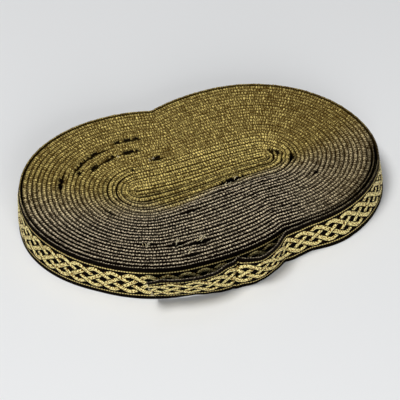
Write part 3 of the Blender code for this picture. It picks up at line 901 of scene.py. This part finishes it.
def woven_ribbon(settings):
    """Polyester ribbon woven with metallic yarn: the gold floats carry painted glints and shade
    in small flecks, the black ground is matt and deep, and the edge is a row of small weft
    loops with painted light and shade on them."""
    material, tree, shader = new_surface("woven_metallic_ribbon")
    width, thickness = settings.width, settings.thickness
    weave = add_node(tree, "ShaderNodeUVMap", uv_map="weave")
    split = add_node(tree, "ShaderNodeSeparateXYZ", {0: weave}).node
    along, travel = split.outputs[0], split.outputs[1]
    folded = maths(tree, "SUBTRACT", 2 * width + thickness, travel)
    across = maths(tree, "MINIMUM", travel, folded)
    level = maths(tree, "SUBTRACT", across, width / 2)
    from_middle = maths(tree, "ABSOLUTE", level)

    gold = plait_mask(tree, along, level)
    line = maths(tree, "COMPARE", from_middle, width / 2 - MARGIN, MARGIN_LINE / 2)
    stitch = maths(tree, "SINE", maths(tree, "MULTIPLY", along, 2 * math.pi / LINE_STITCH))
    line = maths(tree, "MULTIPLY", line, maths(tree, "GREATER_THAN", stitch, STITCH_FROM))
    # Painted glints and shade: the gold yarn's flecks run from its colour in shade to its lit
    # colour.
    glint_flecks = grain(tree, 1.0, along, FLECK_LENGTH, across, FLECK_HEIGHT)
    glint_flecks = ramp(tree, glint_flecks, FLECK_DARK, FLECK_LIGHT)
    yarn = blend(tree, glint_flecks, settings.gold_dark, settings.gold_light)
    face = blend(tree, gold, settings.ground, yarn)
    face = blend(tree, line, face, settings.margin_line)
    hem = ramp(tree, from_middle, width / 2 - HEM_INNER, width / 2 - HEM_OUTER)
    reverse = maths(tree, "GREATER_THAN", travel, width + thickness)
    face = blend(tree, reverse, face, blend(tree, hem, settings.ground, settings.reverse))

    shades = add_node(tree, "ShaderNodeAttribute", attribute_name="edge")
    shades = add_node(tree, "ShaderNodeSeparateColor", {0: shades}).node
    tone, bright, black = shades.outputs
    # Painted light and shade: stretches of each turn are drawn lighter or darker, as if they stood a
    # little higher or lower.
    painted_streak = grain(tree, 2.0, along, STREAK_LENGTH)
    painted_streak = ramp(tree, painted_streak, STREAK_DARK, STREAK_LIGHT, STREAK_LOW, STREAK_HIGH)
    bright = maths(tree, "MULTIPLY", bright, painted_streak)
    threads = grain(tree, 1.0, along, THREAD_LENGTH, travel, THREAD_HEIGHT)
    threads = ramp(tree, threads, THREAD_DARK, THREAD_LIGHT, 0.0, THREAD_GAIN)
    bright = maths(tree, "MULTIPLY", bright, threads)
    # Painted light and shade on the edge: bright loop tops in the loop colours, hollows in the
    # darker hollow colours.
    warm = blend(tree, bright, settings.warm_hollow, settings.warm_loop)
    # Painted glints: a power and a gain leave few bright grey threads among dark ones.
    vivid = maths(tree, "MULTIPLY", maths(tree, "POWER", bright, COOL_POWER), COOL_GAIN)
    cool = blend(tree, vivid, settings.cool_hollow, settings.cool_loop)
    edge = blend(tree, black, blend(tree, tone, warm, cool), settings.ground)
    on_edge = maths(tree, "GREATER_THAN", from_middle, width / 2 - EDGE_SHOWN * EDGE_ROUND)
    tree.links.new(blend(tree, on_edge, face, edge), shader.inputs["Base Color"])

    shine = maths(tree, "MULTIPLY", maths(tree, "SUBTRACT", 1.0, reverse), gold)
    rough = ramp(tree, shine, 0.0, 1.0, CLOTH_ROUGHNESS, YARN_ROUGHNESS)
    metal = ramp(tree, shine, 0.0, 1.0, 0.0, YARN_METAL)
    tree.links.new(rough, shader.inputs["Roughness"])
    tree.links.new(metal, shader.inputs["Metallic"])
    shader.inputs["Specular IOR Level"].default_value = CLOTH_SPECULAR
    return material


def loose_fibre(settings):
    """Loose polyester filament: pale, slightly glossy hairs."""
    material, tree, shader = new_surface("loose_polyester_fibre")
    place = add_node(tree, "ShaderNodeTexCoord", output=3)
    noise = add_node(tree, "ShaderNodeTexNoise", {"Vector": place, "Scale": 1 / FIBRE_GRAIN})
    noise = ramp(tree, noise, 0.3, 0.45)
    colour = blend(tree, noise, settings.warm_loop, settings.fibre)
    tree.links.new(colour, shader.inputs["Base Color"])
    shader.inputs["Roughness"].default_value = 0.5
    return material


def number_property(name, description, default, **kind):
    """A number setting, with its unit or its subtype where it has one."""
    return bpy.props.FloatProperty(name=name, description=description, default=default, **kind)


def colour_property(name, description, code):
    """A colour setting whose default is an sRGB hex value."""
    return bpy.props.FloatVectorProperty(
        name=name, description=description, default=linear(code), subtype="COLOR", size=4,
        min=0.0, max=1.0)


class RibbonSettings(bpy.types.PropertyGroup):
    """Sizes and colours of the ribbon that a user would change."""
    width: number_property(
        "Width", "Width of the ribbon, which is the height of the roll", 13.0 * MM, unit="LENGTH")
    thickness: number_property(
        "Thickness", "Thickness of the woven ribbon", 1.12 * MM, unit="LENGTH")
    ground: colour_property("Ground", "Black polyester of the ground and selvedge", "060301")
    gold_light: colour_property("Gold, light", "Lit flecks of the metallic yarn", "fff2aa")
    gold_dark: colour_property("Gold, dark", "Flecks of the metallic yarn in shade", "744c06")
    margin_line: colour_property("Margin line", "Thin line along both margins", "cdb878")
    reverse: colour_property("Reverse", "Back of the ribbon", "2e2206")
    warm_loop: colour_property("Edge loop, gold", "Edge loops at the back", "fae288")
    warm_hollow: colour_property("Edge hollow, gold", "Hollows between them", "3e2700")
    cool_loop: colour_property("Edge loop, grey", "Edge loops in front of the core", "ffebc6")
    cool_hollow: colour_property("Edge hollow, grey", "Hollows between them", "180b00")
    fibre: colour_property("Loose fibre", "Pale filament at the slits and the cut", "e8dcb8")


class StageSettings(bpy.types.PropertyGroup):
    """Camera, floor and light."""
    azimuth: number_property(
        "Azimuth", "Angle of the camera round the roll", math.radians(-19.73), subtype="ANGLE")
    elevation: number_property(
        "Elevation", "Angle of the camera above the floor", math.radians(40.0), subtype="ANGLE")
    distance: number_property("Distance", "Camera to its target", 0.6, unit="LENGTH")
    focal_length: number_property(
        "Focal length", "Lens in millimetres on a 36 mm sensor", 165.2)
    floor: colour_property("Floor", "Matt paper under the roll", "ecedee")
    sky: colour_property("Surrounding light", "Soft light from all round", "f6f8fa")
    sky_strength: number_property(
        "Surrounding strength", "Strength of the light from all round", 0.14)


def show_as(item, node, material):
    """Give a new piece its material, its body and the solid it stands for."""
    item.data.materials.append(material)
    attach(item, "root")
    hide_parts(node)


class RIBBON_OT_wound_turns(bpy.types.Operator):
    """Wind the ribbon's inner turns, whose looped edges make the top of the roll"""
    bl_idname = "ribbon.wound_turns"
    bl_label = "Wind the inner turns"

    def execute(self, context):
        settings = context.scene.ribbon_settings
        material = woven_ribbon(settings)
        section = ribbon_section(WOUND_FACE_SHARES, 2, (0.0,), 0.0, settings)
        for stretch in WOUND_STRETCHES:
            item, length, _ = turn_piece(stretch, section, settings, raised=False)
            show_as(item, "wound_roll", material)
        return {"FINISHED"}


class RIBBON_OT_outer_turn(bpy.types.Operator):
    """Lay the outer turn with its raised plait, the free end across the waist, and its fibres"""
    bl_idname = "ribbon.outer_turn"
    bl_label = "Lay the outer turn and the free end"

    def execute(self, context):
        settings = context.scene.ribbon_settings
        material = bpy.data.materials["woven_metallic_ribbon"]
        shares = np.linspace(EDGE_ROUND, settings.width - EDGE_ROUND, SHOWN_ROWS) / settings.width
        section = ribbon_section(
            shares, SHOWN_INNER_ROWS, (-0.9, 0.0, 0.9), SELVEDGE_THIN, settings)
        outer, outer_length, last = turn_piece(SHOWN_STRETCH, section, settings, raised=True)
        show_as(outer, "wound_roll", material)
        free, free_length, cut = free_end_piece("free_end", last, section, settings)
        show_as(free, "loose_end", material)
        fibres = fibre_piece("loose_fibres", (cut[0], cut[section.face_rows - 1]))
        fibres.data.materials.append(loose_fibre(settings))
        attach(fibres, "root")
        return {"FINISHED"}


class RIBBON_OT_stage(bpy.types.Operator):
    """Set the pale floor, the soft light and the camera"""
    bl_idname = "ribbon.stage"
    bl_label = "Set the stage"

    def execute(self, context):
        scene = context.scene
        stage = scene.stage_settings
        scene.view_settings.view_transform = "Standard"
        mesh = bpy.data.meshes.new("floor")
        corners = [(x * FLOOR_REACH, y * FLOOR_REACH, 0)
                   for x, y in ((-1, -1), (1, -1), (1, 1), (-1, 1))]
        mesh.from_pydata(corners, [], [(0, 1, 2, 3)])
        floor = add_item("floor", mesh)
        paper, _, shader = new_surface("matt_paper")
        shader.inputs["Base Color"].default_value = stage.floor
        shader.inputs["Roughness"].default_value = 0.9
        shader.inputs["Specular IOR Level"].default_value = 0.2
        mesh.materials.append(paper)
        world = scene.world or bpy.data.worlds.new("soft_light")
        scene.world = world
        world.use_nodes = True
        background = world.node_tree.nodes["Background"]
        background.inputs["Color"].default_value = stage.sky
        background.inputs["Strength"].default_value = stage.sky_strength
        for name, place, energy, size in LIGHTS:
            light = bpy.data.lights.new(name, "AREA")
            light.energy = energy
            light.size = size
            item = add_item(name, light)
            item.location = place
            item.rotation_euler = (-Vector(place)).to_track_quat("-Z", "Y").to_euler()
        data = bpy.data.cameras.new("camera")
        data.lens = stage.focal_length
        data.sensor_width = 36.0
        data.dof.use_dof = False
        camera = add_item("camera", data)
        back = Vector((
            math.sin(stage.azimuth) * math.cos(stage.elevation),
            -math.cos(stage.azimuth) * math.cos(stage.elevation),
            math.sin(stage.elevation)))
        target = Vector((MIDDLE_X + AIM_X, MIDDLE_Y + AIM_Y, 0.0))
        camera.location = target + back * stage.distance
        camera.rotation_euler = back.to_track_quat("Z", "Y").to_euler()
        scene.camera = camera
        return {"FINISHED"}


class RIBBON_PT_panel(bpy.types.Panel):
    """Lists the steps that build the roll"""
    bl_label = "Wound ribbon roll"
    bl_idname = "RIBBON_PT_panel"
    bl_space_type = "VIEW_3D"
    bl_region_type = "UI"
    bl_category = "Ribbon"

    def draw(self, context):
        layout = self.layout
        for step in STEPS:
            layout.operator(step.bl_idname)
        for group in (context.scene.ribbon_settings, context.scene.stage_settings):
            for name in group.bl_rna.properties.keys():
                if name not in ("rna_type", "name"):
                    layout.prop(group, name)


STEPS = (RIBBON_OT_wound_turns, RIBBON_OT_outer_turn, RIBBON_OT_stage)
CLASSES = (RibbonSettings, StageSettings, *STEPS, RIBBON_PT_panel)


def register():
    for item in CLASSES:
        bpy.utils.register_class(item)
    bpy.types.Scene.ribbon_settings = bpy.props.PointerProperty(type=RibbonSettings)
    bpy.types.Scene.stage_settings = bpy.props.PointerProperty(type=StageSettings)


def unregister():
    del bpy.types.Scene.stage_settings
    del bpy.types.Scene.ribbon_settings
    for item in reversed(CLASSES):
        bpy.utils.unregister_class(item)


def main():
    register()
    bpy.ops.ribbon.wound_turns()
    bpy.ops.ribbon.outer_turn()
    bpy.ops.ribbon.stage()


if __name__ == "__main__":
    main()
